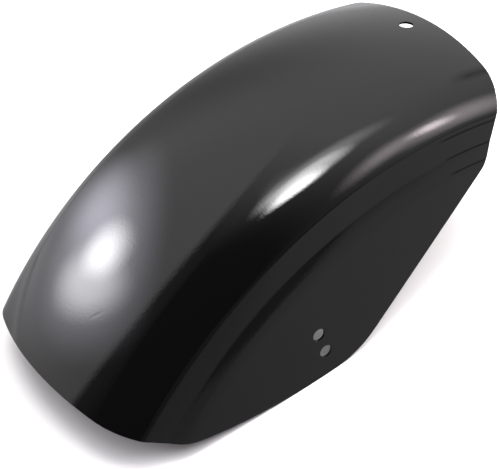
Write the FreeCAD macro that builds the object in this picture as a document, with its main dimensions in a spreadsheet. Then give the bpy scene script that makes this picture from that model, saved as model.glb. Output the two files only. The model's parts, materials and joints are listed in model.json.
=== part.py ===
import FreeCAD, Part
import math
import os
import Sketcher

# Rear fender of a motorcycle, pressed from one steel sheet.
# It is drawn round the wheel axis: the axis is Y, the front end is on the +X side and Z is up, with the
# single crown hole straight above the axis. At the end it is turned and set down on its two side hems.

SIZES = [
    ("crown_radius", 340.0, "top of the crown, from the wheel axis"),
    ("section_radius", 229.0, "arc of the crown across the fender"),
    ("shoulder_radius", 46.0, "arc that turns the crown down into the side"),
    ("sheet", 1.5, "thickness of the steel"),
    ("shoulder_depth", 29.0, "end of the shoulder, below the top of the crown"),
    ("shoulder_half", 89.9, "half width there"),
    ("valley_depth", 45.0, "bottom of the pressed step, below the top of the crown"),
    ("valley_half", 94.2, "half width there"),
    ("skirt_depth", 56.6, "top of the flat skirt, below the top of the crown"),
    ("skirt_half", 98.4, "half width there"),
    ("blank_depth", 160.0, "rim of the untrimmed ring, below the top of the crown"),
    ("blank_half", 99.9, "half width there, so that the skirts have a little draft"),
    ("bend_radius", 3.0, "inside radius of the three pressed bends"),
    ("front_offset", 132.8, "from the wheel axis to the line of the front end"),
    ("front_slope", 64.0, "slope of the front end, in degrees"),
    ("front_corner_radius", 30.0, "where the front end turns into the diagonal"),
    ("diagonal_offset", 191.6, "from the wheel axis to the diagonal edge"),
    ("diagonal_slope", 49.1, "slope of the diagonal edge, in degrees"),
    ("skirt_corner_radius", 62.5, "between the diagonal and the hem"),
    ("hem_radius", 361.0, "long arc of the hem"),
    ("hem_height", 151.2, "lowest point of the hem's arc, above the wheel axis"),
    ("hem_back", 221.5, "middle of the hem's arc, behind the wheel axis"),
    ("tail_corner_radius", 80.0, "between the hem and the tail end"),
    ("tail_bite", 15.6, "how far the line of the tail end cuts into the hem's arc"),
    ("tail_slope", 19.3, "fall of the tail end towards the front, in degrees"),
    ("trim_margin", 10.0, "room round the ring for the trimming outline"),
    ("crown_hole", 10.0, "diameter of the hole in the crown"),
    ("side_hole", 9.0, "diameter of the holes in the skirts"),
    ("side_hole_spacing", 16.5, "between the two holes of a skirt"),
    ("side_hole_lean", 112.0, "direction from the lower hole to the upper one, in degrees"),
    ("side_hole_back", 137.4, "middle of the pair, behind the wheel axis"),
    ("side_hole_height", 189.4, "middle of the pair, above the wheel axis"),
    ("rest_pitch", 13.3, "turn that sets the front part of the hems on the ground, in degrees"),
]

# How a sketch numbers its own origin, its upright axis and the points of a curve.
ORIGIN = (-1, 1)
V_AXIS = -2
START, END, CENTRE = range(1, 4)
SAME_RADIUS = 1e-4

size = {name: value for name, value, note in SIZES}
doc = FreeCAD.newDocument("rear_fender")
sheet = doc.addObject("Spreadsheet::Sheet", "sizes")
for row, (name, value, note) in enumerate(SIZES, start=1):
    sheet.set("A%d" % row, name)
    sheet.set("B%d" % row, str(value))
    sheet.setAlias("B%d" % row, name)
    sheet.set("C%d" % row, note)
doc.recompute()

body = doc.addObject("PartDesign::Body", "rear_fender")
body.Label = "rear_fender"


def add_sketch(name, role):
    """A sketch of the body on one of its own origin planes."""
    sketch = body.newObject("Sketcher::SketchObject", name)
    plane = [feature for feature in body.Origin.OriginFeatures if feature.Role == role][0]
    sketch.AttachmentSupport = [(plane, "")]
    sketch.MapMode = "FlatFace"
    return sketch


def point(across, up):
    return FreeCAD.Vector(across, up, 0)


def add_line(sketch, start, end, construction=False):
    return sketch.addGeometry(Part.LineSegment(start, end), construction)


def add_arc(sketch, centre, radius, start, end):
    """An arc that runs anticlockwise from one point to the other."""
    circle = Part.Circle(centre, FreeCAD.Vector(0, 0, 1), radius)
    first = math.atan2(start.y - centre.y, start.x - centre.x)
    last = math.atan2(end.y - centre.y, end.x - centre.x)
    if last < first:
        last += 2 * math.pi
    return sketch.addGeometry(Part.ArcOfCircle(circle, first, last), False)


def add_circle(sketch, centre, radius):
    return sketch.addGeometry(Part.Circle(centre, FreeCAD.Vector(0, 0, 1), radius), False)


def fix(sketch, *terms):
    sketch.addConstraint(Sketcher.Constraint(*terms))


def dimension(sketch, name, expression, *terms):
    """A dimension that follows the sheet of sizes."""
    index = sketch.addConstraint(Sketcher.Constraint(*terms))
    sketch.renameConstraint(index, name)
    sketch.setExpression("Constraints." + name, expression)


def circles_meet(centre_a, radius_a, centre_b, radius_b):
    """The crossing of two circles that lies nearer the middle of the fender."""
    span = centre_b - centre_a
    along = (radius_a ** 2 - radius_b ** 2 + span.Length ** 2) / (2 * span.Length)
    aside = math.sqrt(radius_a ** 2 - along ** 2)
    unit = span / span.Length
    foot = centre_a + unit * along
    crossings = [foot + point(-unit.y, unit.x) * aside, foot - point(-unit.y, unit.x) * aside]
    return min(crossings, key=lambda crossing: crossing.x)


# Section across the fender: crown, shoulders, a pressed step and flat skirts, one sheet thick.
section = add_sketch("section", "YZ_Plane")
wall = size["sheet"]
crown_centre = point(0, size["crown_radius"] - size["section_radius"])
corners = [
    point(size[name + "_half"], size["crown_radius"] - size[name + "_depth"])
    for name in ("shoulder", "valley", "skirt", "blank")
]
shoulder_centre = circles_meet(
    crown_centre,
    size["section_radius"] - size["shoulder_radius"],
    corners[0],
    size["shoulder_radius"],
)
crown_end = crown_centre + (shoulder_centre - crown_centre).normalize() * size["section_radius"]


def mirrored(place):
    return point(-place.x, place.y)


def draw_skin(inset):
    """One face of the sheet: crown and shoulder arcs, and the straight runs of both sides."""
    drop = (crown_end - shoulder_centre).normalize() * inset
    upper = crown_end - drop
    places = [corner - point(inset, 0) for corner in corners]
    radius = size["shoulder_radius"] - inset
    far_upper = mirrored(upper)
    far_places = [mirrored(place) for place in places]
    skin = {"crown": add_arc(section, crown_centre, size["section_radius"] - inset, upper, far_upper)}
    skin["left"] = add_arc(section, shoulder_centre, radius, places[0], upper)
    skin["right"] = add_arc(section, mirrored(shoulder_centre), radius, far_upper, far_places[0])
    skin["left_runs"] = [add_line(section, a, b) for a, b in zip(places, places[1:])]
    skin["right_runs"] = [add_line(section, a, b) for a, b in zip(far_places, far_places[1:])]
    fix(section, "Tangent", skin["left"], END, skin["crown"], START)
    fix(section, "Tangent", skin["right"], START, skin["crown"], END)
    for shoulder, end, runs in (("left", START, "left_runs"), ("right", END, "right_runs")):
        fix(section, "Coincident", skin[shoulder], end, skin[runs][0], START)
        for upper_run, lower_run in zip(skin[runs], skin[runs][1:]):
            fix(section, "Coincident", upper_run, END, lower_run, START)
    return skin


outer = draw_skin(0)
inner = draw_skin(wall)
for side in ("left_runs", "right_runs"):
    rim = add_line(
        section,
        section.Geometry[outer[side][-1]].EndPoint,
        section.Geometry[inner[side][-1]].EndPoint,
    )
    fix(section, "Coincident", outer[side][-1], END, rim, START)
    fix(section, "Coincident", inner[side][-1], END, rim, END)
    fix(section, "Horizontal", rim)

fix(section, "PointOnObject", outer["crown"], CENTRE, V_AXIS)
dimension(
    section, "section_radius", "sizes.section_radius",
    "Radius", outer["crown"], size["section_radius"],
)
dimension(
    section, "crown_height", "sizes.crown_radius - sizes.section_radius",
    "DistanceY", *ORIGIN, outer["crown"], CENTRE, crown_centre.y,
)
dimension(
    section, "shoulder_radius", "sizes.shoulder_radius",
    "Radius", outer["left"], size["shoulder_radius"],
)
stations = [
    ("shoulder", outer["left_runs"][0], START, outer["right_runs"][0]),
    ("valley", outer["left_runs"][0], END, outer["right_runs"][0]),
    ("skirt", outer["left_runs"][1], END, outer["right_runs"][1]),
    ("blank", outer["left_runs"][2], END, outer["right_runs"][2]),
]
for (name, left_run, end, right_run), corner in zip(stations, corners):
    level = "sizes.crown_radius - sizes." + name + "_depth"
    dimension(section, name + "_level", level, "DistanceY", *ORIGIN, left_run, end, corner.y)
    half = name + "_half"
    dimension(section, half, "sizes." + half, "DistanceX", *ORIGIN, left_run, end, corner.x)
    fix(section, "Symmetric", left_run, end, right_run, end, V_AXIS)
fix(section, "Equal", outer["left"], outer["right"])

fix(section, "Coincident", inner["crown"], CENTRE, outer["crown"], CENTRE)
dimension(
    section, "inner_section_radius", "sizes.section_radius - sizes.sheet",
    "Radius", inner["crown"], size["section_radius"] - wall,
)
for shoulder in ("left", "right"):
    fix(section, "Coincident", inner[shoulder], CENTRE, outer[shoulder], CENTRE)
    run_pairs = zip(outer[shoulder + "_runs"], inner[shoulder + "_runs"])
    for count, (outer_run, inner_run) in enumerate(run_pairs):
        fix(section, "Parallel", outer_run, inner_run)
        name = "%s_run_%d" % (shoulder, count)
        dimension(section, name, "sizes.sheet", "Distance", inner_run, START, outer_run, wall)
doc.recompute()

# The sheet as a full ring round the wheel axis.
ring = body.newObject("PartDesign::Revolution", "ring")
ring.Profile = section
ring.ReferenceAxis = (section, ["H_Axis"])
ring.Angle = 360
doc.recompute()


def edges_at(feature, radii):
    """Names of the circular edges round the wheel axis that have one of these radii."""
    names = []
    for count, edge in enumerate(feature.Shape.Edges, start=1):
        if isinstance(edge.Curve, Part.Circle):
            if any(abs(edge.Curve.Radius - radius) < SAME_RADIUS for radius in radii):
                names.append("Edge%d" % count)
    return names


# The three pressed bends: the inside of each bend has the bend radius, the outside one sheet more.
outer_folds = [section.Geometry[run].StartPoint.y for run in outer["left_runs"]]
inner_folds = [section.Geometry[run].StartPoint.y for run in inner["left_runs"]]
bend_outsides = [outer_folds[0], inner_folds[1], outer_folds[2]]
bend_insides = [inner_folds[0], outer_folds[1], inner_folds[2]]
wide_bends = body.newObject("PartDesign::Fillet", "wide_bends")
wide_bends.Base = (ring, edges_at(ring, bend_outsides))
wide_bends.setExpression("Radius", "sizes.bend_radius + sizes.sheet")
doc.recompute()
tight_bends = body.newObject("PartDesign::Fillet", "tight_bends")
tight_bends.Base = (wide_bends, edges_at(wide_bends, bend_insides))
tight_bends.setExpression("Radius", "sizes.bend_radius")
doc.recompute()


class Edge:
    """A straight edge of the side outline: its slope and how far it passes below a point."""

    def __init__(self, place, distance, slope):
        self.along = point(math.cos(math.radians(slope)), math.sin(math.radians(slope)))
        self.inward = point(-self.along.y, self.along.x)
        self.offset = self.inward.dot(place) - distance

    def crossing(self, radius, side):
        """Where the edge crosses a circle round the wheel axis."""
        return self.inward * self.offset + self.along * side * math.sqrt(radius ** 2 - self.offset ** 2)

    def foot(self, place):
        return place + self.inward * (self.offset - self.inward.dot(place))


def centre_between_edges(first, second, radius):
    """Centre of the arc that rounds the corner of two straight edges."""
    first_reach = first.offset + radius
    second_reach = second.offset + radius
    cross = first.inward.x * second.inward.y - first.inward.y * second.inward.x
    return point(
        (first_reach * second.inward.y - second_reach * first.inward.y) / cross,
        (second_reach * first.inward.x - first_reach * second.inward.x) / cross,
    )


def centre_on_hem(edge, radius, side):
    """Centre of the arc that rounds the corner of a straight edge and the hem."""
    foot = edge.foot(hem_centre) + edge.inward * radius
    reach = (size["hem_radius"] - radius) ** 2 - (hem_centre - foot).Length ** 2
    return foot + edge.along * side * math.sqrt(reach)


def touch_hem(centre):
    return hem_centre + (centre - hem_centre).normalize() * size["hem_radius"]


# Side outline: front end, diagonal, hem and tail end, with the long edges joined by tangent arcs.
outline = add_sketch("outline", "XZ_Plane")
trim_radius = size["crown_radius"] + size["trim_margin"]
axle = point(0, 0)
hem_centre = point(-size["hem_back"], size["hem_height"] + size["hem_radius"])
tail_reach = size["hem_radius"] - size["tail_bite"]
front = Edge(axle, -size["front_offset"], size["front_slope"])
diagonal = Edge(axle, -size["diagonal_offset"], size["diagonal_slope"])
tail = Edge(hem_centre, tail_reach, -size["tail_slope"])
front_centre = centre_between_edges(front, diagonal, size["front_corner_radius"])
skirt_centre = centre_on_hem(diagonal, size["skirt_corner_radius"], -1)
tail_centre = centre_on_hem(tail, size["tail_corner_radius"], 1)
front_top = front.crossing(trim_radius, 1)
tail_top = tail.crossing(trim_radius, -1)

front_line = add_line(outline, front.foot(front_centre), front_top)
front_corner = add_arc(
    outline, front_centre, size["front_corner_radius"],
    diagonal.foot(front_centre), front.foot(front_centre),
)
diagonal_line = add_line(outline, diagonal.foot(skirt_centre), diagonal.foot(front_centre))
skirt_corner = add_arc(
    outline, skirt_centre, size["skirt_corner_radius"],
    touch_hem(skirt_centre), diagonal.foot(skirt_centre),
)
hem = add_arc(outline, hem_centre, size["hem_radius"], touch_hem(tail_centre), touch_hem(skirt_centre))
tail_corner = add_arc(
    outline, tail_centre, size["tail_corner_radius"],
    tail.foot(tail_centre), touch_hem(tail_centre),
)
tail_line = add_line(outline, tail_top, tail.foot(tail_centre))
crown_side = add_arc(outline, axle, trim_radius, front_top, tail_top)
waste_rim = add_circle(outline, axle, trim_radius + size["trim_margin"])

fix(outline, "Tangent", front_line, START, front_corner, END)
fix(outline, "Tangent", front_corner, START, diagonal_line, END)
fix(outline, "Tangent", diagonal_line, START, skirt_corner, END)
fix(outline, "Tangent", skirt_corner, START, hem, END)
fix(outline, "Tangent", hem, START, tail_corner, END)
fix(outline, "Tangent", tail_corner, START, tail_line, END)
fix(outline, "Coincident", tail_line, START, crown_side, END)
fix(outline, "Coincident", crown_side, START, front_line, END)
fix(outline, "Coincident", crown_side, CENTRE, *ORIGIN)
fix(outline, "Coincident", waste_rim, CENTRE, *ORIGIN)
for name, line, edge in (("front", front_line, front), ("diagonal", diagonal_line, diagonal)):
    offset = name + "_offset"
    dimension(outline, offset, "sizes." + offset, "Distance", *ORIGIN, line, edge.offset)
    slope = math.radians(size[name + "_slope"])
    dimension(outline, name + "_slope", "sizes." + name + "_slope * 1 deg", "Angle", line, slope)
dimension(
    outline, "tail_reach", "sizes.hem_radius - sizes.tail_bite",
    "Distance", hem, CENTRE, tail_line, tail_reach,
)
tail_angle = math.radians(-size["tail_slope"])
dimension(outline, "tail_slope", "-sizes.tail_slope * 1 deg", "Angle", tail_line, tail_angle)
for name, arc in (
    ("front_corner_radius", front_corner),
    ("skirt_corner_radius", skirt_corner),
    ("hem_radius", hem),
    ("tail_corner_radius", tail_corner),
):
    dimension(outline, name, "sizes." + name, "Radius", arc, size[name])
dimension(outline, "hem_back", "sizes.hem_back", "DistanceX", hem, CENTRE, *ORIGIN, size["hem_back"])
dimension(
    outline, "hem_level", "sizes.hem_height + sizes.hem_radius",
    "DistanceY", *ORIGIN, hem, CENTRE, hem_centre.y,
)
dimension(
    outline, "crown_side", "sizes.crown_radius + sizes.trim_margin",
    "Radius", crown_side, trim_radius,
)
dimension(
    outline, "waste_rim", "sizes.crown_radius + 2 * sizes.trim_margin",
    "Radius", waste_rim, trim_radius + size["trim_margin"],
)
doc.recompute()


def cut_through(name, sketch):
    """Cuts a sketch through the sheet to both sides of its plane, and makes sure that it did."""
    before = body.Shape.Volume
    pocket = body.newObject("PartDesign::Pocket", name)
    pocket.Profile = sketch
    pocket.Type = "ThroughAll"
    pocket.SideType = "Symmetric"
    doc.recompute()
    if not body.Shape.Volume < before:
        raise RuntimeError(name + " cut nothing")


cut_through("trim", outline)

# Two bolt holes through each skirt, one above the other.
side_holes = add_sketch("side_holes", "XZ_Plane")
pair_middle = point(-size["side_hole_back"], size["side_hole_height"])
lean = math.radians(size["side_hole_lean"])
half_pair = point(math.cos(lean), math.sin(lean)) * size["side_hole_spacing"] / 2
pair_line = add_line(side_holes, pair_middle - half_pair, pair_middle + half_pair, True)
pair_point = side_holes.addGeometry(Part.Point(pair_middle), True)
lower_hole = add_circle(side_holes, pair_middle - half_pair, size["side_hole"] / 2)
upper_hole = add_circle(side_holes, pair_middle + half_pair, size["side_hole"] / 2)
fix(side_holes, "Coincident", lower_hole, CENTRE, pair_line, START)
fix(side_holes, "Coincident", upper_hole, CENTRE, pair_line, END)
fix(side_holes, "Symmetric", pair_line, START, pair_line, END, pair_point, START)
fix(side_holes, "Equal", lower_hole, upper_hole)
dimension(side_holes, "side_hole", "sizes.side_hole", "Diameter", lower_hole, size["side_hole"])
dimension(
    side_holes, "spacing", "sizes.side_hole_spacing",
    "Distance", pair_line, size["side_hole_spacing"],
)
dimension(side_holes, "lean", "sizes.side_hole_lean * 1 deg", "Angle", pair_line, lean)
dimension(
    side_holes, "back", "sizes.side_hole_back",
    "DistanceX", pair_point, START, *ORIGIN, size["side_hole_back"],
)
dimension(
    side_holes, "height", "sizes.side_hole_height",
    "DistanceY", *ORIGIN, pair_point, START, size["side_hole_height"],
)
doc.recompute()
cut_through("side_cut", side_holes)

# One bolt hole in the crown, near the front end.
crown_hole = add_sketch("crown_hole", "XY_Plane")
crown_circle = add_circle(crown_hole, point(0, 0), size["crown_hole"] / 2)
fix(crown_hole, "Coincident", crown_circle, CENTRE, *ORIGIN)
dimension(crown_hole, "crown_hole", "sizes.crown_hole", "Diameter", crown_circle, size["crown_hole"])
doc.recompute()
cut_through("crown_cut", crown_hole)

# Set down: the front part of the hems is lowest, and the fender is centred over the origin.
body.Placement.Rotation = FreeCAD.Rotation(FreeCAD.Vector(0, 1, 0), size["rest_pitch"])
doc.recompute()
box = body.Shape.optimalBoundingBox(False, False)
body.Placement.Base = FreeCAD.Vector(-box.Center.x, -box.Center.y, -box.ZMin)
doc.recompute()

for item in doc.Objects:
    if "Invalid" in item.State or "Error" in item.State:
        raise RuntimeError(item.Name + " failed: " + ", ".join(item.State))
if body.Shape.isNull() or not body.Shape.isValid() or len(body.Shape.Solids) != 1:
    raise RuntimeError("the fender is not one valid solid")
os.makedirs("parts", exist_ok=True)
body.Shape.exportStep(os.path.join("parts", body.Label + ".step"))
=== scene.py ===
import json
import math

import bmesh
import bpy
from mathutils import Matrix, Vector


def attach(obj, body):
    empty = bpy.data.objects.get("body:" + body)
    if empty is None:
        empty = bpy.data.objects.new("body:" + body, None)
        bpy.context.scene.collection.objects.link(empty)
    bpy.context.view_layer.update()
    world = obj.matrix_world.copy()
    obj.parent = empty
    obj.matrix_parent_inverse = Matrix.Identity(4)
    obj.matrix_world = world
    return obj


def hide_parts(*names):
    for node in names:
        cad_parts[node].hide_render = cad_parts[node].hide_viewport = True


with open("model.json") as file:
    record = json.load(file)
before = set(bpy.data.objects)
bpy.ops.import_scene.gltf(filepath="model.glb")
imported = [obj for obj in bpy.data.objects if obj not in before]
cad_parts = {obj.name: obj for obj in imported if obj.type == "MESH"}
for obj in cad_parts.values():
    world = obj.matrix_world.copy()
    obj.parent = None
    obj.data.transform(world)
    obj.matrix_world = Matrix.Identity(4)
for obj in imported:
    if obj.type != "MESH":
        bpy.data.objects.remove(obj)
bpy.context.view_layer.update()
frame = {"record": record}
scene = bpy.context.scene


# Fender sheet: one steel pressing, 1.5 mm thick and painted gloss black, that arches over the wheel.
# The section has a crowned top, round shoulders, a shallow pressed step and flat skirts. The sheet is
# rolled to the wheel's circle, then trimmed along the ends and hems and punched for its bolts.
MM = 0.001
SHEET = 1.5 * MM
CROWN_RADIUS = 340 * MM
SECTION_RADIUS = 229 * MM
SHOULDER_RADIUS = 46 * MM
SHOULDER_END = Vector((89.9, 311.0)) * MM
STEP_VALLEY = Vector((94.2, 295.0)) * MM
SKIRT_TOP = Vector((98.4, 283.4)) * MM
SKIRT_RIM = Vector((99.9, 180.0)) * MM
SHOULDER_BEND = 2.5 * MM
VALLEY_BEND = 1.2 * MM
SKIRT_BEND = 4.2 * MM
CROWN_STEPS = 32
SHOULDER_STEPS = 24
BEND_SEGMENTS = 6

mounts = {mount["name"]: mount for mount in frame["record"]["mounts"]}
crown_axis = Vector(mounts["crown_hole"]["axis"])
axle = Vector(mounts["crown_hole"]["pos_m"]) - crown_axis * (CROWN_RADIUS - SHEET / 2)
pitch = math.atan2(crown_axis.x, crown_axis.z)
wheel_to_row = Matrix.Translation(axle) @ Matrix.Rotation(pitch, 4, "Y")


def swing(bm, vertex, centre, angle, steps):
    """Draws an arc of the section from a vertex, and gives the vertex at its end."""
    arc = bmesh.ops.spin(bm, geom=[vertex], cent=centre, axis=(1, 0, 0), angle=angle, steps=steps)
    return arc["geom_last"][0]


def run_to(bm, vertex, place):
    """Draws a straight run of the section from a vertex, and gives the vertex at its end."""
    copy = bmesh.ops.extrude_vert_indiv(bm, verts=[vertex])["verts"][0]
    copy.co = (0, place.x, place.y)
    return copy


bm = bmesh.new()
crown_centre = Vector((0, CROWN_RADIUS - SECTION_RADIUS))
to_end = SHOULDER_END - crown_centre
inner_reach = SECTION_RADIUS - SHOULDER_RADIUS
along = (inner_reach ** 2 - SHOULDER_RADIUS ** 2 + to_end.length ** 2) / (2 * to_end.length)
aside = math.sqrt(inner_reach ** 2 - along ** 2)
unit = to_end.normalized()
shoulder_centre = crown_centre + unit * along + Vector((-unit.y, unit.x)) * aside
crown_turn = math.atan2(shoulder_centre.x, shoulder_centre.y - crown_centre.y)
shoulder_out = SHOULDER_END - shoulder_centre
shoulder_turn = math.atan2(shoulder_out.x, shoulder_out.y) - crown_turn

top = bm.verts.new((0, 0, CROWN_RADIUS))
crown_end = swing(bm, top, (0, 0, crown_centre.y), -crown_turn, CROWN_STEPS)
shoulder_end = swing(
    bm, crown_end, (0, shoulder_centre.x, shoulder_centre.y), -shoulder_turn, SHOULDER_STEPS,
)
bends = [shoulder_end]
for place in (STEP_VALLEY, SKIRT_TOP, SKIRT_RIM):
    bends.append(run_to(bm, bends[-1], place))
for bend, length in zip(bends, (SHOULDER_BEND, VALLEY_BEND, SKIRT_BEND)):
    bmesh.ops.bevel(
        bm, geom=[bend], offset=length, offset_type="OFFSET", segments=BEND_SEGMENTS, profile=0.5,
        affect="VERTICES", material=-1,
    )

ARC_FRONT = math.radians(6)
ARC_TAIL = math.radians(-64)
ARC_STEPS = 140
bmesh.ops.rotate(bm, verts=bm.verts, cent=(0, 0, 0), matrix=Matrix.Rotation(ARC_FRONT, 3, "Y"))
bmesh.ops.spin(
    bm, geom=bm.verts[:] + bm.edges[:], cent=(0, 0, 0), axis=(0, 1, 0), angle=ARC_TAIL - ARC_FRONT,
    steps=ARC_STEPS,
)

# Trim lines of the side, as a slope and a distance from the wheel's axle or as an arc between two slopes.
FRONT_OFFSET = 132.8 * MM
FRONT_SLOPE = 64.0
FRONT_CORNER = 30 * MM
DIAGONAL_OFFSET = 191.6 * MM
DIAGONAL_SLOPE = 49.1
SKIRT_CORNER = 62.5 * MM
HEM_RADIUS = 361 * MM
HEM_CENTRE = Vector((-221.5 * MM, 512.2 * MM))
TAIL_CORNER = 80 * MM
TAIL_BITE = 15.6 * MM
TAIL_SLOPE = -19.3
FRONT_CUTS = 6
SKIRT_CUTS = 12
HEM_CUTS = 16
TAIL_CUTS = 8
CUT_TOLERANCE = 1e-7
WELD = 1e-6


def inward(slope):
    """Direction into the sheet from an edge with a given slope."""
    return Vector((-math.sin(math.radians(slope)), math.cos(math.radians(slope))))


def trim(bm, slope, offset):
    """Cuts off what lies outside a line of the side outline."""
    normal = inward(slope)
    bmesh.ops.bisect_plane(
        bm, geom=bm.verts[:] + bm.edges[:] + bm.faces[:], dist=CUT_TOLERANCE,
        plane_co=(normal.x * offset, 0, normal.y * offset), plane_no=(-normal.x, 0, -normal.y),
        clear_outer=True,
    )


def trim_arc(bm, centre, radius, first_slope, last_slope, cuts):
    """Cuts off what lies outside an arc of the side outline."""
    for count in range(cuts):
        slope = first_slope + (last_slope - first_slope) * (count + 0.5) / cuts
        trim(bm, slope, inward(slope).dot(centre) - radius)


def corner_on_hem(slope, offset, radius, side):
    """Centre of the arc that rounds a straight edge into the hem, and the hem's slope where they meet."""
    normal = inward(slope)
    away = normal.dot(HEM_CENTRE) - offset - radius
    run = math.sqrt((HEM_RADIUS - radius) ** 2 - away ** 2)
    centre = HEM_CENTRE - normal * away + Vector((normal.y, -normal.x)) * run * side
    down = centre - HEM_CENTRE
    return centre, math.degrees(math.atan2(down.x, -down.y))


tail_offset = inward(TAIL_SLOPE).dot(HEM_CENTRE) - HEM_RADIUS + TAIL_BITE
skirt_centre, hem_front = corner_on_hem(DIAGONAL_SLOPE, DIAGONAL_OFFSET, SKIRT_CORNER, -1)
tail_centre, hem_tail = corner_on_hem(TAIL_SLOPE, tail_offset, TAIL_CORNER, 1)
front_normal = inward(FRONT_SLOPE)
diagonal_normal = inward(DIAGONAL_SLOPE)
front_reach = FRONT_OFFSET + FRONT_CORNER
diagonal_reach = DIAGONAL_OFFSET + FRONT_CORNER
front_centre = Vector((
    front_reach * diagonal_normal.y - diagonal_reach * front_normal.y,
    diagonal_reach * front_normal.x - front_reach * diagonal_normal.x,
)) / front_normal.cross(diagonal_normal)

trim(bm, FRONT_SLOPE, FRONT_OFFSET)
trim_arc(bm, front_centre, FRONT_CORNER, FRONT_SLOPE, DIAGONAL_SLOPE, FRONT_CUTS)
trim(bm, DIAGONAL_SLOPE, DIAGONAL_OFFSET)
trim_arc(bm, skirt_centre, SKIRT_CORNER, DIAGONAL_SLOPE, hem_front, SKIRT_CUTS)
trim_arc(bm, HEM_CENTRE, HEM_RADIUS, hem_front, hem_tail, HEM_CUTS)
trim_arc(bm, tail_centre, TAIL_CORNER, hem_tail, TAIL_SLOPE, TAIL_CUTS)
trim(bm, TAIL_SLOPE, tail_offset)

bmesh.ops.mirror(bm, geom=bm.verts[:] + bm.edges[:] + bm.faces[:], axis="Y", merge_dist=WELD)
bmesh.ops.remove_doubles(bm, verts=bm.verts, dist=WELD)
bmesh.ops.recalc_face_normals(bm, faces=bm.faces)
highest = max(bm.faces, key=lambda face: face.calc_center_median().length)
if highest.normal.dot(highest.calc_center_median()) < 0:
    bmesh.ops.reverse_faces(bm, faces=bm.faces)
bmesh.ops.transform(bm, matrix=wheel_to_row, verts=bm.verts)
mesh = bpy.data.meshes.new("fender_sheet")
bm.to_mesh(mesh)
bm.free()
fender = bpy.data.objects.new("fender_sheet", mesh)
scene.collection.objects.link(fender)

# Punches for the bolt holes: one through the crown, and two through both skirts.
CROWN_PUNCH_LENGTH = 20 * MM
SKIRT_PUNCH_LENGTH = 260 * MM
PUNCH_SEGMENTS = 64
SIDE_HOLE_LEAN = math.radians(112.0)
punches = bmesh.new()
crown_mount = mounts["crown_hole"]
crown_turned = Matrix.Translation(crown_mount["pos_m"]) @ Matrix.Rotation(pitch, 4, "Y")
bmesh.ops.create_cone(
    punches, cap_ends=True, segments=PUNCH_SEGMENTS, depth=CROWN_PUNCH_LENGTH, matrix=crown_turned,
    radius1=crown_mount["dims"]["r_mm"] * MM, radius2=crown_mount["dims"]["r_mm"] * MM,
)
skirt_mount = mounts["left_skirt_holes"]
for side in (-1, 1):
    reach = side * skirt_mount["dims"]["pcd_mm"] / 2 * MM
    lean = Matrix.Rotation(pitch, 3, "Y") @ Vector((math.cos(SIDE_HOLE_LEAN), 0, math.sin(SIDE_HOLE_LEAN)))
    middle = Vector((skirt_mount["pos_m"][0], 0, skirt_mount["pos_m"][2])) + lean * reach
    bmesh.ops.create_cone(
        punches, cap_ends=True, segments=PUNCH_SEGMENTS, depth=SKIRT_PUNCH_LENGTH,
        radius1=skirt_mount["dims"]["hole_r_mm"] * MM, radius2=skirt_mount["dims"]["hole_r_mm"] * MM,
        matrix=Matrix.Translation(middle) @ Matrix.Rotation(math.pi / 2, 4, "X"),
    )
punch_mesh = bpy.data.meshes.new("punches")
punches.to_mesh(punch_mesh)
punches.free()
punch = bpy.data.objects.new("punches", punch_mesh)
scene.collection.objects.link(punch)

wall = fender.modifiers.new("wall", "SOLIDIFY")
wall.thickness = SHEET
wall.offset = -1
wall.use_even_offset = True
holes = fender.modifiers.new("holes", "BOOLEAN")
holes.operation = "DIFFERENCE"
holes.solver = "EXACT"
holes.object = punch
punched = bpy.data.meshes.new_from_object(fender.evaluated_get(bpy.context.evaluated_depsgraph_get()))
fender.modifiers.clear()
fender.data = punched
bpy.data.objects.remove(punch)

RIM_ROUNDING = 0.3 * MM
RIM_SEGMENTS = 3
RIM_ANGLE = math.radians(50)
fender.data.shade_smooth()
rims = fender.modifiers.new("rims", "BEVEL")
rims.limit_method = "ANGLE"
rims.angle_limit = RIM_ANGLE
rims.width = RIM_ROUNDING
rims.segments = RIM_SEGMENTS
rims.harden_normals = True

# Paint: gloss black, with the sheet's long waves, fine orange peel and a gloss that varies a little.
WAVE_SIZE = 55 * MM
WAVE_DEPTH = 0.10 * MM
PEEL_SIZE = 2.0 * MM
PEEL_DEPTH = 0.015 * MM
GLOSS_SIZE = 18 * MM
GLOSS_NOISE = (0.3, 0.7)
GLOSS_ROUGHNESS = (0.03, 0.06)
PAINT_BLACK = (0.0007, 0.0007, 0.0008, 1)
PAINT_IOR = 1.5
PAINT_SHINE = 0.5
SHADED_LINE_SHINE = 0.1
paint = bpy.data.materials.new("gloss_black_paint")
paint.use_nodes = True
coat = paint.node_tree
on_sheet = coat.nodes.new("ShaderNodeTexCoord").outputs["Object"]


def graded(tree, value, low, high, start, end, soft=False):
    """A value carried from one range to another, evenly or with soft ends."""
    node = tree.nodes.new("ShaderNodeMapRange")
    if soft:
        node.interpolation_type = "SMOOTHSTEP"
    for name, number in (("From Min", low), ("From Max", high), ("To Min", start), ("To Max", end)):
        node.inputs[name].default_value = number
    tree.links.new(value, node.inputs["Value"])
    return node.outputs["Result"]


def combined(tree, operation, first, second):
    """Two values worked into one."""
    node = tree.nodes.new("ShaderNodeMath")
    node.operation = operation
    tree.links.new(first, node.inputs[0])
    tree.links.new(second, node.inputs[1])
    return node.outputs["Value"]


def toned(tree, value, stops, blending="LINEAR"):
    """Grey tones along a value, given as stops of a place and a tone."""
    node = tree.nodes.new("ShaderNodeValToRGB")
    node.color_ramp.interpolation = blending
    elements = node.color_ramp.elements
    elements[0].position = stops[0][0]
    elements[1].position = stops[-1][0]
    for place, tone in stops[1:-1]:
        elements.new(place)
    for element, (place, tone) in zip(elements, stops):
        element.color = (tone, tone, tone, 1)
    tree.links.new(value, node.inputs["Fac"])
    return node.outputs["Color"]


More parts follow.
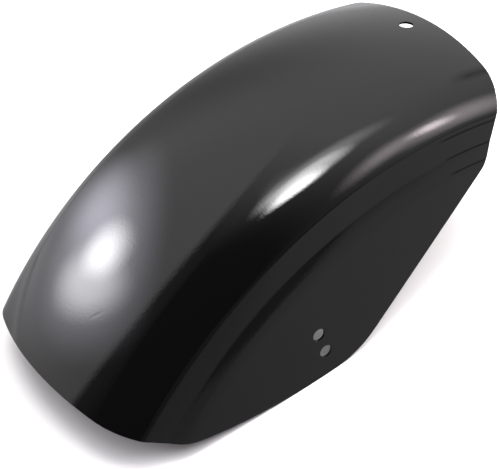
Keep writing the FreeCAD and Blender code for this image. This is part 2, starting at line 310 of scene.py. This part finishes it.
def paint_noise(size, detail):
    """A cloudy pattern with patches of a given size."""
    node = coat.nodes.new("ShaderNodeTexNoise")
    node.inputs["Scale"].default_value = 1 / size
    node.inputs["Detail"].default_value = detail
    coat.links.new(on_sheet, node.inputs["Vector"])
    return node.outputs["Fac"]


def relief(height, depth, under=None, hollow=False):
    """Relief of a given depth, raised or hollow, laid over the relief under it."""
    node = coat.nodes.new("ShaderNodeBump")
    node.invert = hollow
    node.inputs["Distance"].default_value = depth
    coat.links.new(height, node.inputs["Height"])
    if under:
        coat.links.new(under, node.inputs["Normal"])
    return node.outputs["Normal"]


waves = relief(paint_noise(WAVE_SIZE, detail=1), WAVE_DEPTH)
orange_peel = relief(paint_noise(PEEL_SIZE, detail=2), PEEL_DEPTH, waves)
gloss = graded(coat, paint_noise(GLOSS_SIZE, detail=6), *GLOSS_NOISE, *GLOSS_ROUGHNESS)

# Small hollow mark in the crown near the tail.
MARK_START = Vector((-132.6, -23.3, 79.0)) * MM
MARK_END = Vector((-122.7, -31.0, 85.3)) * MM
MARK_HALF_SIZES = Vector((7, 1.6, 4)) * MM
MARK_DEPTH = 0.02 * MM
mark_along = MARK_END - MARK_START
mark_place = coat.nodes.new("ShaderNodeMapping")
mark_place.vector_type = "TEXTURE"
mark_place.inputs["Location"].default_value = (MARK_START + MARK_END) / 2
mark_place.inputs["Rotation"].default_value = mark_along.to_track_quat("X", "Z").to_euler()
mark_place.inputs["Scale"].default_value = MARK_HALF_SIZES
mark = coat.nodes.new("ShaderNodeTexGradient")
mark.gradient_type = "SPHERICAL"
coat.links.new(on_sheet, mark_place.inputs["Vector"])
coat.links.new(mark_place.outputs["Vector"], mark.inputs["Vector"])
dent = relief(mark.outputs["Fac"], MARK_DEPTH, orange_peel, hollow=True)

# Fine press lines beside the bends and below the crown, near the front end, drawn only as painted shade:
# the paint's reflection is turned down along them, where shade falls in the narrow creases.
BEND_LINES = (284.6 * MM, 294.6 * MM, 307.1 * MM)
BEND_LINE_HALF = 0.9 * MM
BEND_LINE_START = 98 * MM
BEND_LINE_FULL = 108 * MM
BEND_LINE_SHADE = 1.0
CROWN_LINE = 329.9 * MM
CROWN_LINE_HALF = 1.9 * MM
CROWN_LINE_START = 130 * MM
CROWN_LINE_FULL = 150 * MM
CROWN_LINE_SHADE = 0.72
from_axle = coat.nodes.new("ShaderNodeMapping")
from_axle.inputs["Location"].default_value = (-axle.x, 0, -axle.z)
from_axle.inputs["Scale"].default_value = (1, 0, 1)
coat.links.new(on_sheet, from_axle.inputs["Vector"])
wheel_distance = coat.nodes.new("ShaderNodeVectorMath")
wheel_distance.operation = "LENGTH"
coat.links.new(from_axle.outputs["Vector"], wheel_distance.inputs[0])
sheet_axes = coat.nodes.new("ShaderNodeSeparateXYZ")
coat.links.new(on_sheet, sheet_axes.inputs["Vector"])


def press_line_shade(radii, half, start, full, depth):
    """Strength of the painted shade along fine lines at given distances from the wheel's axle, which fades
    in towards the front end.
    """
    inner = min(radii) - 2 * half
    outer = max(radii) + 2 * half
    stops = [(0, 0)]
    for radius in radii:
        for offset, tone in ((-half, 0), (0, 1), (half, 0)):
            stops.append(((radius + offset - inner) / (outer - inner), tone))
    stops.append((1, 0))
    across = graded(coat, wheel_distance.outputs["Value"], inner, outer, 0, 1)
    near_front = graded(coat, sheet_axes.outputs["X"], start, full, 0, depth, soft=True)
    return combined(coat, "MULTIPLY", toned(coat, across, stops), near_front)


bend_line_shade = press_line_shade(BEND_LINES, BEND_LINE_HALF, BEND_LINE_START, BEND_LINE_FULL, BEND_LINE_SHADE)
crown_line_shade = press_line_shade(
    (CROWN_LINE,), CROWN_LINE_HALF, CROWN_LINE_START, CROWN_LINE_FULL, CROWN_LINE_SHADE,
)
line_shade = combined(coat, "MAXIMUM", bend_line_shade, crown_line_shade)
# The paint's shine drops along the lines: painted shade in the creases.
shine = graded(coat, line_shade, 0, 1, PAINT_SHINE, SHADED_LINE_SHINE)

shader = coat.nodes["Principled BSDF"]
shader.inputs["Base Color"].default_value = PAINT_BLACK
shader.inputs["IOR"].default_value = PAINT_IOR
coat.links.new(shine, shader.inputs["Specular IOR Level"])
coat.links.new(gloss, shader.inputs["Roughness"])
coat.links.new(dent, shader.inputs["Normal"])
fender.data.materials.clear()
fender.data.materials.append(paint)

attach(fender, "root")
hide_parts("rear_fender")


# Floor: a sheet of pale paper, 8 m square, that the part stands on.
# It is bright where it is seen directly. The gloss paint mirrors a darker paper with painted light and
# shade on it: graded darker towards the near left, brighter further out on the near side and, on the far
# side, graded round the part.
FLOOR_HALF = 4.0
PAPER = (0.45, 0.437, 0.43, 1)
NEAR_SLANT = (-0.876, -0.4355, 0)
NEAR_SPAN = (-0.25, 0.30)
NEAR_TONES = ((0, 0.1554), (0.5, 0.1304), (0.74, 0.1104), (0.82, 0.0853), (0.885, 0.0341))
REACH_SPAN = (-0.35, -1.2)
REACH_GAIN = (0.9, 1.5)
FAR_SPAN = (-0.15, 0.85)
FAR_TONES = ((47, 0.47), (62, 0.38), (74, 0.23), (84, 0.15), (100, 0.40), (112, 0.45))
FULL_TURN = 360
floor_bm = bmesh.new()
bmesh.ops.create_grid(floor_bm, x_segments=1, y_segments=1, size=FLOOR_HALF)
floor_mesh = bpy.data.meshes.new("floor")
floor_bm.to_mesh(floor_mesh)
floor_bm.free()
floor = bpy.data.objects.new("floor", floor_mesh)
scene.collection.objects.link(floor)

floor_paper = bpy.data.materials.new("pale_paper")
floor_paper.use_nodes = True
paper = floor_paper.node_tree
paper.nodes.remove(paper.nodes["Principled BSDF"])
on_floor = paper.nodes.new("ShaderNodeTexCoord").outputs["Object"]
floor_axes = paper.nodes.new("ShaderNodeSeparateXYZ")
paper.links.new(on_floor, floor_axes.inputs["Vector"])
floor_along = paper.nodes.new("ShaderNodeVectorMath")
floor_along.operation = "DOT_PRODUCT"
floor_along.inputs[1].default_value = NEAR_SLANT
paper.links.new(on_floor, floor_along.inputs[0])
# Painted shade and light on the mirrored paper: darker towards the near left, brighter further out on the
# near side, and graded round the part on the far side.
near_fade = graded(paper, floor_along.outputs["Value"], *NEAR_SPAN, 0, 1)
near_reach = graded(paper, floor_axes.outputs["Y"], *REACH_SPAN, *REACH_GAIN, soft=True)
near_painted_shade = combined(paper, "MULTIPLY", toned(paper, near_fade, NEAR_TONES, "EASE"), near_reach)
floor_round = paper.nodes.new("ShaderNodeTexGradient")
floor_round.gradient_type = "RADIAL"
paper.links.new(on_floor, floor_round.inputs["Vector"])
far_stops = [(azimuth / FULL_TURN + 0.5, tone) for azimuth, tone in FAR_TONES]
far_fade = graded(paper, floor_axes.outputs["Y"], *FAR_SPAN, 0, 1)
far_painted_tone = combined(paper, "MULTIPLY", toned(paper, floor_round.outputs["Fac"], far_stops), far_fade)
mirrored_paper = paper.nodes.new("ShaderNodeBsdfDiffuse")
paper.links.new(combined(paper, "MAXIMUM", near_painted_shade, far_painted_tone), mirrored_paper.inputs["Color"])
seen_paper = paper.nodes.new("ShaderNodeBsdfDiffuse")
seen_paper.inputs["Color"].default_value = PAPER
rays = paper.nodes.new("ShaderNodeLightPath")
either_paper = paper.nodes.new("ShaderNodeMixShader")
paper.links.new(rays.outputs["Is Camera Ray"], either_paper.inputs["Fac"])
paper.links.new(mirrored_paper.outputs["BSDF"], either_paper.inputs[1])
paper.links.new(seen_paper.outputs["BSDF"], either_paper.inputs[2])
paper.links.new(either_paper.outputs["Shader"], paper.nodes["Material Output"].inputs["Surface"])
floor.data.materials.append(floor_paper)


# Studio light: a white room on the far side and the right, dark towards the near left, with soft lamps.
# Room and lamps are soft patches of the surroundings, given by azimuth and elevation in degrees. Two
# square panels light the floor and stay out of the reflections.
WHITE = (1.0, 1.0, 1.0)
COOL = (0.89, 0.87, 1.0)
ROSE = (1.0, 0.88, 0.93)
ROOM_WHITE = (1.0, 0.99, 1.0)
ROOM_DARK = 0.055
FAR_WALL = (100.8, 19.9)
FAR_WALL_EDGE = (0.605, 0.66)
FAR_GLOW_EDGE = (0.47, 0.62)
FAR_GLOW = 0.11
RIGHT_WALL = (20.5, 0)
RIGHT_WALL_EDGE = (-0.412, 0.429)
WALL_HEIGHTS = (-0.05, 2.15)
WALL_STRENGTHS = (0.80, 1.90)
HOOD = (-7.5, 79.4)
HOOD_EDGE = (0.919, 0.966)
UP = (0, 0, 1)
world = bpy.data.worlds.new("studio")
scene.world = world
world.use_nodes = True
sky = world.node_tree
sky.nodes.clear()
looking = sky.nodes.new("ShaderNodeTexCoord").outputs["Generated"]


def direction(azimuth, elevation):
    """The unit vector towards an azimuth and an elevation."""
    turn = math.radians(azimuth)
    rise = math.radians(elevation)
    return Vector((math.cos(rise) * math.cos(turn), math.cos(rise) * math.sin(turn), math.sin(rise)))


def facing(axis):
    """How far the surroundings at a place lie towards an axis."""
    node = sky.nodes.new("ShaderNodeVectorMath")
    node.operation = "DOT_PRODUCT"
    node.inputs[1].default_value = axis
    sky.links.new(looking, node.inputs[0])
    return node.outputs["Value"]


def background(colour):
    """An even light from all round."""
    node = sky.nodes.new("ShaderNodeBackground")
    node.inputs["Color"].default_value = colour + (1,)
    return node


def light(strength, colour):
    """A light from all round whose strength changes from place to place."""
    node = background(colour)
    sky.links.new(strength, node.inputs["Strength"])
    return node.outputs["Background"]


def lamp(azimuth, elevation, lean, half_sizes, edge, strength, outside=0):
    """Strength of a soft oval patch, with angles in degrees and an edge as a share of its half sizes."""
    turn = (
        Matrix.Rotation(math.radians(azimuth), 3, "Z")
        @ Matrix.Rotation(math.radians(90 - elevation), 3, "Y")
        @ Matrix.Rotation(math.radians(lean), 3, "Z")
    )
    place = sky.nodes.new("ShaderNodeMapping")
    place.vector_type = "TEXTURE"
    place.inputs["Location"].default_value = direction(azimuth, elevation)
    place.inputs["Rotation"].default_value = turn.to_euler()
    place.inputs["Scale"].default_value = [math.sin(math.radians(half)) for half in half_sizes] + [1]
    sky.links.new(looking, place.inputs["Vector"])
    patch = sky.nodes.new("ShaderNodeTexGradient")
    patch.gradient_type = "SPHERICAL"
    sky.links.new(place.outputs["Vector"], patch.inputs["Vector"])
    return graded(sky, patch.outputs["Fac"], 0, edge, outside, strength, soft=True)


to_far_wall = facing(direction(*FAR_WALL))
far_wall = combined(
    sky, "MAXIMUM",
    graded(sky, to_far_wall, *FAR_WALL_EDGE, 0, 1, soft=True),
    graded(sky, to_far_wall, *FAR_GLOW_EDGE, 0, FAR_GLOW, soft=True),
)
right_wall = graded(sky, facing(direction(*RIGHT_WALL)), *RIGHT_WALL_EDGE, 0, 1, soft=True)
walls = combined(sky, "MAXIMUM", far_wall, right_wall)
height = graded(sky, facing(UP), *WALL_HEIGHTS, *WALL_STRENGTHS, soft=True)
gap = lamp(78.2, 13.4, 40, (50.0, 25.8), 1.0, 0.44, outside=1)
room = combined(sky, "MULTIPLY", combined(sky, "MULTIPLY", walls, height), gap)
hood = graded(sky, facing(direction(*HOOD)), *HOOD_EDGE, 0, 1, soft=True)
dimness = background(ROOM_WHITE)
dimness.inputs["Strength"].default_value = ROOM_DARK

# Lamps, each by azimuth, elevation, lean, half sizes, edge and strength; the hood masks the overhead ones.
lights = [
    light(room, ROOM_WHITE),
    light(lamp(120.8, 31.4, 143, (13.7, 7.9), 1.0, 13.6), WHITE),
    light(lamp(128.1, 28.1, 137, (22.0, 9.5), 0.78, 5.6), WHITE),
    light(lamp(121.9, 29.5, 30, (21.2, 36.6), 1.0, 5.6), COOL),
    light(lamp(105.3, 20.3, -36, (25.5, 9.9), 1.0, 2.7), COOL),
    light(lamp(110.3, 5.5, 26, (11.0, 47.7), 0.77, 0.53), COOL),
    light(lamp(-46.8, 32.2, 107, (6.8, 8.6), 1.0, 12.0), ROSE),
    light(lamp(-42.6, 28.2, -32, (16.3, 25.1), 0.90, 3.8), ROSE),
    light(lamp(-61.9, 36.8, 46, (11.0, 17.0), 1.0, 2.9), ROSE),
]
for overhead in (
    lamp(-96.7, 62.5, 83, (14.1, 29.7), 0.64, 35.5),
    lamp(-60.3, 80.6, -72, (12.4, 18.3), 0.58, 8.3),
    lamp(80.0, 88.0, 79, (38.7, 14.8), 1.0, 5.0),
):
    lights.append(light(combined(sky, "MULTIPLY", overhead, hood), WHITE))
total = dimness.outputs["Background"]
for extra in lights:
    both = sky.nodes.new("ShaderNodeAddShader")
    sky.links.new(total, both.inputs[0])
    sky.links.new(extra, both.inputs[1])
    total = both.outputs["Shader"]
surroundings = sky.nodes.new("ShaderNodeOutputWorld")
sky.links.new(total, surroundings.inputs["Surface"])
scene.view_settings.view_transform = "Standard"


def panel(name, place, target, size, power, colour):
    """A square soft panel that lights the floor and stays out of the reflections."""
    panel_data = bpy.data.lights.new(name, "AREA")
    panel_data.shape = "SQUARE"
    panel_data.size = size
    panel_data.energy = power
    panel_data.color = colour
    panel_light = bpy.data.objects.new(name, panel_data)
    scene.collection.objects.link(panel_light)
    turned = (Vector(place) - Vector(target)).to_track_quat("Z", "Y")
    panel_light.matrix_world = Matrix.LocRotScale(Vector(place), turned, None)
    panel_light.visible_glossy = False


panel(
    "overhead_panel", place=(-0.05, -0.52, 0.97), target=(-0.1, 0.0, 0.0), size=0.75, power=26,
    colour=(0.92, 0.93, 1.0),
)
panel(
    "front_panel", place=(0.84, -0.26, 0.58), target=(0.1, 0.0, 0.0), size=0.4, power=13,
    colour=(1.0, 0.98, 0.97),
)


# Camera: at the photograph's viewing angle, above the near side and behind the tail.
# It has a long lens and is rolled a little, with no shift and no depth of field.
CAMERA_PLACE = Vector((-305.09, -616.30, 617.49)) * MM
CAMERA_AXES = Matrix((
    (0.80697, 0.48014, -0.34391),
    (-0.56386, 0.45310, -0.69048),
    (-0.17570, 0.75112, 0.63636),
))
LENS = 93.83
SENSOR = 36
NEAREST = 0.01
camera_data = bpy.data.cameras.new("camera")
camera_data.lens = LENS
camera_data.sensor_width = SENSOR
camera_data.sensor_fit = "HORIZONTAL"
camera_data.clip_start = NEAREST
camera = bpy.data.objects.new("camera", camera_data)
scene.collection.objects.link(camera)
camera.matrix_world = Matrix.LocRotScale(CAMERA_PLACE, CAMERA_AXES.to_quaternion(), None)
scene.camera = camera
